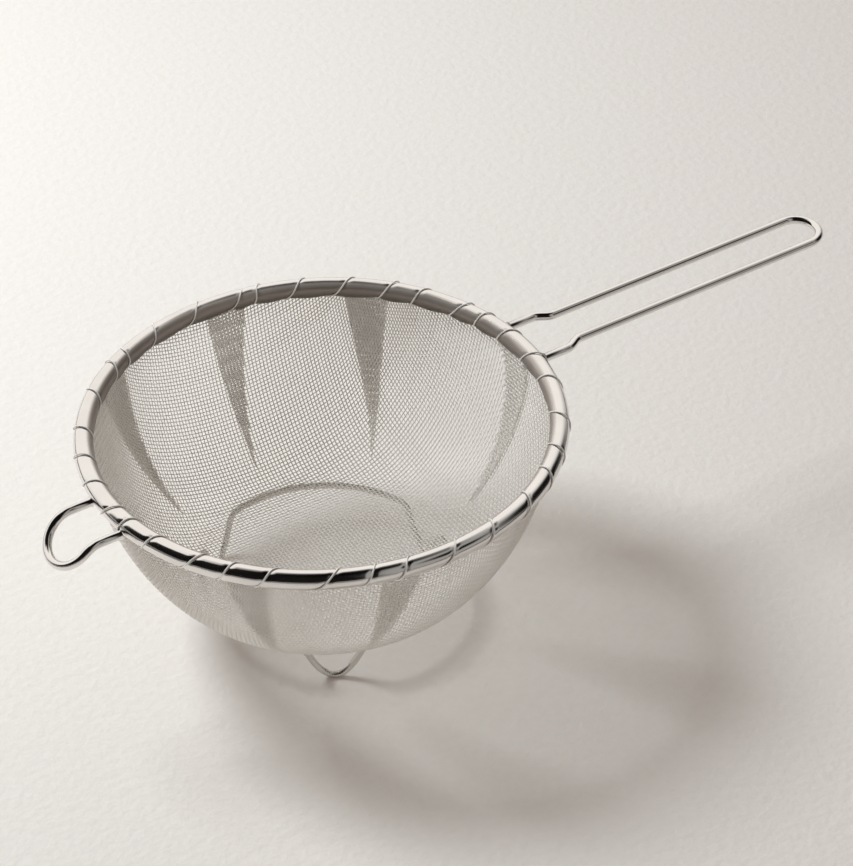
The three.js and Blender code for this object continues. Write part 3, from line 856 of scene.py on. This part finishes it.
# %% The table
TABLE_LEFT = -0.5
TABLE_RIGHT = 0.6
TABLE_FRONT = -0.8
TABLE_BACK = 1.3
TABLE_TURN = -0.5887
PLASTER_DARK = (0.80, 0.768, 0.728, 1)
PLASTER_PALE = (0.86, 0.828, 0.788, 1)
PLASTER_ROUGHNESS = 0.75
PLASTER_SHEEN = 0.25
TROWEL_SCALE = 240
TROWEL_DETAIL = 6
TROWEL_STRENGTH = 0.4
TROWEL_DEPTH = 1.2 * MM

bm = bmesh.new()
bmesh.ops.create_grid(bm, x_segments=1, y_segments=1, size=0.5)
bmesh.ops.scale(bm, verts=bm.verts, vec=(TABLE_RIGHT - TABLE_LEFT, TABLE_BACK - TABLE_FRONT, 1))
table_middle = ((TABLE_LEFT + TABLE_RIGHT) / 2, (TABLE_FRONT + TABLE_BACK) / 2, 0)
bmesh.ops.translate(bm, verts=bm.verts, vec=table_middle)
table_turn = Quaternion((0, 0, 1), TABLE_TURN).to_matrix()
bmesh.ops.rotate(bm, verts=bm.verts, cent=(0, 0, 0), matrix=table_turn)
bmesh.ops.translate(bm, verts=bm.verts, vec=(axis_x, 0, 0))
table_mesh = bpy.data.meshes.new("table")
bm.to_mesh(table_mesh)
bm.free()
table = add_piece("table", table_mesh)

plaster = bpy.data.materials.new("plaster")
plaster.use_nodes = True
nodes = plaster.node_tree.nodes
join = plaster.node_tree.links.new
shader = nodes["Principled BSDF"]
shader.inputs["Roughness"].default_value = PLASTER_ROUGHNESS
shader.inputs["Specular IOR Level"].default_value = PLASTER_SHEEN
coordinates = nodes.new("ShaderNodeTexCoord")
trowelled = nodes.new("ShaderNodeTexNoise")
trowelled.inputs["Scale"].default_value = TROWEL_SCALE
trowelled.inputs["Detail"].default_value = TROWEL_DETAIL
tone = nodes.new("ShaderNodeValToRGB")
tone.color_ramp.elements[0].color = PLASTER_DARK
tone.color_ramp.elements[1].color = PLASTER_PALE
relief = nodes.new("ShaderNodeBump")
relief.inputs["Strength"].default_value = TROWEL_STRENGTH
relief.inputs["Distance"].default_value = TROWEL_DEPTH
join(coordinates.outputs["Object"], trowelled.inputs["Vector"])
join(trowelled.outputs["Fac"], tone.inputs["Fac"])
join(tone.outputs["Color"], shader.inputs["Base Color"])
join(trowelled.outputs["Fac"], relief.inputs["Height"])
join(relief.outputs["Normal"], shader.inputs["Normal"])
table.data.materials.append(plaster)
print(f"table: {TABLE_RIGHT - TABLE_LEFT:.2f} by {TABLE_BACK - TABLE_FRONT:.2f} m")

# %% [markdown]
# Polished wire shows its surroundings more than its own colour. So the room that the steel mirrors is drawn
# with care from the direction of a ray: a wide window above and behind, grey walls, and dark parts that
# draw the black lines. These are a screen at the camera's side that starts a little above the table, the
# unlit side of the room to the right, a corner in front of it, the middle of the ceiling, and all that lies
# lower than the table. Only glossy rays see this room. The camera sees a pale backdrop, everything else
# gets a plain soft light, and one large lamp, behind and to the left, casts the shadow. That lamp is kept
# out of the mirrors, because the window stands for it there.

# %% Light
WINDOW_TOWARDS = Vector((0.0714, 0.816, 0.5736))
WINDOW_FROM = 0.25
WINDOW_TO = 0.85
WINDOW_LIGHT = 1.1
WALL_LIGHT = 0.38
CAMERA_SIDE = Vector((-0.616, -0.788, 0))
CAMERA_ACROSS = Vector((0.788, -0.616, 0))
SCREEN_SHIFT = 0.35
SCREEN_LEAN = -0.2
SCREEN_HALF = 0.92
SCREEN_TAPER = 0.45
SCREEN_BACK = -0.08
SCREEN_FOOT = 0.07
UNLIT_SIDE = Vector((0.9186, -0.2461, 0.309))
UNLIT_EDGE = 0.91
UNLIT_CEILING = Vector((0.12, 0.03, 0.992))
CEILING_EDGE = 0.93
UNLIT_CORNER = Vector((0.433, -0.7, 0.568))
CORNER_EDGE = 0.975
CORNER_SOFT = 0.02
SOFT = 0.07
DARKEST = 0.985
SOFT_LIGHT = 0.36
BACKDROP_LIGHT = 0.8
SOFT_COLOUR = (1.0, 0.9, 0.84, 1)
ROOM_COLOUR = (1.0, 0.965, 0.93, 1)
KEY_COLOUR = (0.92, 0.97, 1.0)
KEY_TOWARDS = Vector((-0.473, 0.881, 1.12)).normalized()
KEY_DISTANCE = 1.4
KEY_SIZE = 0.53
KEY_POWER = 17.0

world = bpy.data.worlds.new("studio")
scene.world = world
world.use_nodes = True
nodes = world.node_tree.nodes
join = world.node_tree.links.new
direction = nodes.new("ShaderNodeTexCoord")


def along(target):
    dot = nodes.new("ShaderNodeVectorMath")
    dot.operation = "DOT_PRODUCT"
    dot.inputs[1].default_value = target
    join(direction.outputs["Generated"], dot.inputs[0])
    return dot.outputs["Value"]


def ramp(value, low, high, to_low, to_high):
    share = nodes.new("ShaderNodeMapRange")
    share.interpolation_type = "SMOOTHSTEP"
    for name, number in (("From Min", low), ("From Max", high), ("To Min", to_low), ("To Max", to_high)):
        share.inputs[name].default_value = number
    join(value, share.inputs["Value"])
    return share.outputs["Result"]


def arithmetic(operation, *values):
    step = nodes.new("ShaderNodeMath")
    step.operation = operation
    for socket, value in zip(step.inputs, values):
        if isinstance(value, float):
            socket.default_value = value
        else:
            join(value, socket)
    return step.outputs["Value"]


def pick(share, low, high):
    mix = nodes.new("ShaderNodeMix")
    join(share, mix.inputs["Factor"])
    for name, value in (("A", low), ("B", high)):
        if isinstance(value, float):
            mix.inputs[name].default_value = value
        else:
            join(value, mix.inputs[name])
    return mix.outputs["Result"]


up = along(Vector((0, 0, 1)))
leaning = arithmetic("MULTIPLY_ADD", up, SCREEN_LEAN, along(CAMERA_ACROSS))
aside = arithmetic("ABSOLUTE", arithmetic("ADD", leaning, SCREEN_SHIFT))
widened = arithmetic("MULTIPLY_ADD", up, SCREEN_TAPER, aside)
beside_screen = ramp(widened, SCREEN_HALF - SOFT, SCREEN_HALF + SOFT, 1 - DARKEST, 1)
behind_screen = ramp(along(CAMERA_SIDE), SCREEN_BACK - SOFT, SCREEN_BACK + SOFT, 1, 0)
below_screen = ramp(up, SCREEN_FOOT - SOFT, SCREEN_FOOT + SOFT, 1, 0)
past_screen = arithmetic("MAXIMUM", beside_screen, behind_screen)
dark_parts = (
    arithmetic("MAXIMUM", past_screen, below_screen),
    ramp(along(UNLIT_SIDE), UNLIT_EDGE - SOFT, UNLIT_EDGE + SOFT, 1, 1 - DARKEST),
    ramp(along(UNLIT_CEILING), CEILING_EDGE - SOFT, CEILING_EDGE + SOFT, 1, 1 - DARKEST),
    ramp(along(UNLIT_CORNER), CORNER_EDGE - CORNER_SOFT, CORNER_EDGE + CORNER_SOFT, 1, 1 - DARKEST),
    ramp(up, -2 * SOFT, 0, 1 - DARKEST, 1),
)
room = ramp(along(WINDOW_TOWARDS), WINDOW_FROM, WINDOW_TO, WALL_LIGHT, WINDOW_LIGHT)
for part in dark_parts:
    room = arithmetic("MULTIPLY", room, part)
rays = nodes.new("ShaderNodeLightPath")
mirrored_room = pick(rays.outputs["Is Glossy Ray"], SOFT_LIGHT, room)
level = pick(rays.outputs["Is Camera Ray"], mirrored_room, BACKDROP_LIGHT)
join(level, nodes["Background"].inputs["Strength"])
colour = nodes.new("ShaderNodeMix")
colour.data_type = "RGBA"
colour.inputs["A"].default_value = SOFT_COLOUR
colour.inputs["B"].default_value = ROOM_COLOUR
shown = arithmetic("MAXIMUM", rays.outputs["Is Glossy Ray"], rays.outputs["Is Camera Ray"])
join(shown, colour.inputs["Factor"])
join(colour.outputs["Result"], nodes["Background"].inputs["Color"])

key = bpy.data.objects.new("key", bpy.data.lights.new("key", "AREA"))
key.data.shape = "DISK"
key.data.size = KEY_SIZE
key.data.energy = KEY_POWER
key.data.color = KEY_COLOUR
key.location = Vector((axis_x, 0, 0)) + KEY_TOWARDS * KEY_DISTANCE
key.rotation_mode = "QUATERNION"
key.rotation_quaternion = (-KEY_TOWARDS).to_track_quat("-Z", "Y")
key.visible_glossy = False
scene.collection.objects.link(key)
scene.view_settings.view_transform = "Standard"
print("key lamp at", tuple(round(x, 2) for x in key.location))
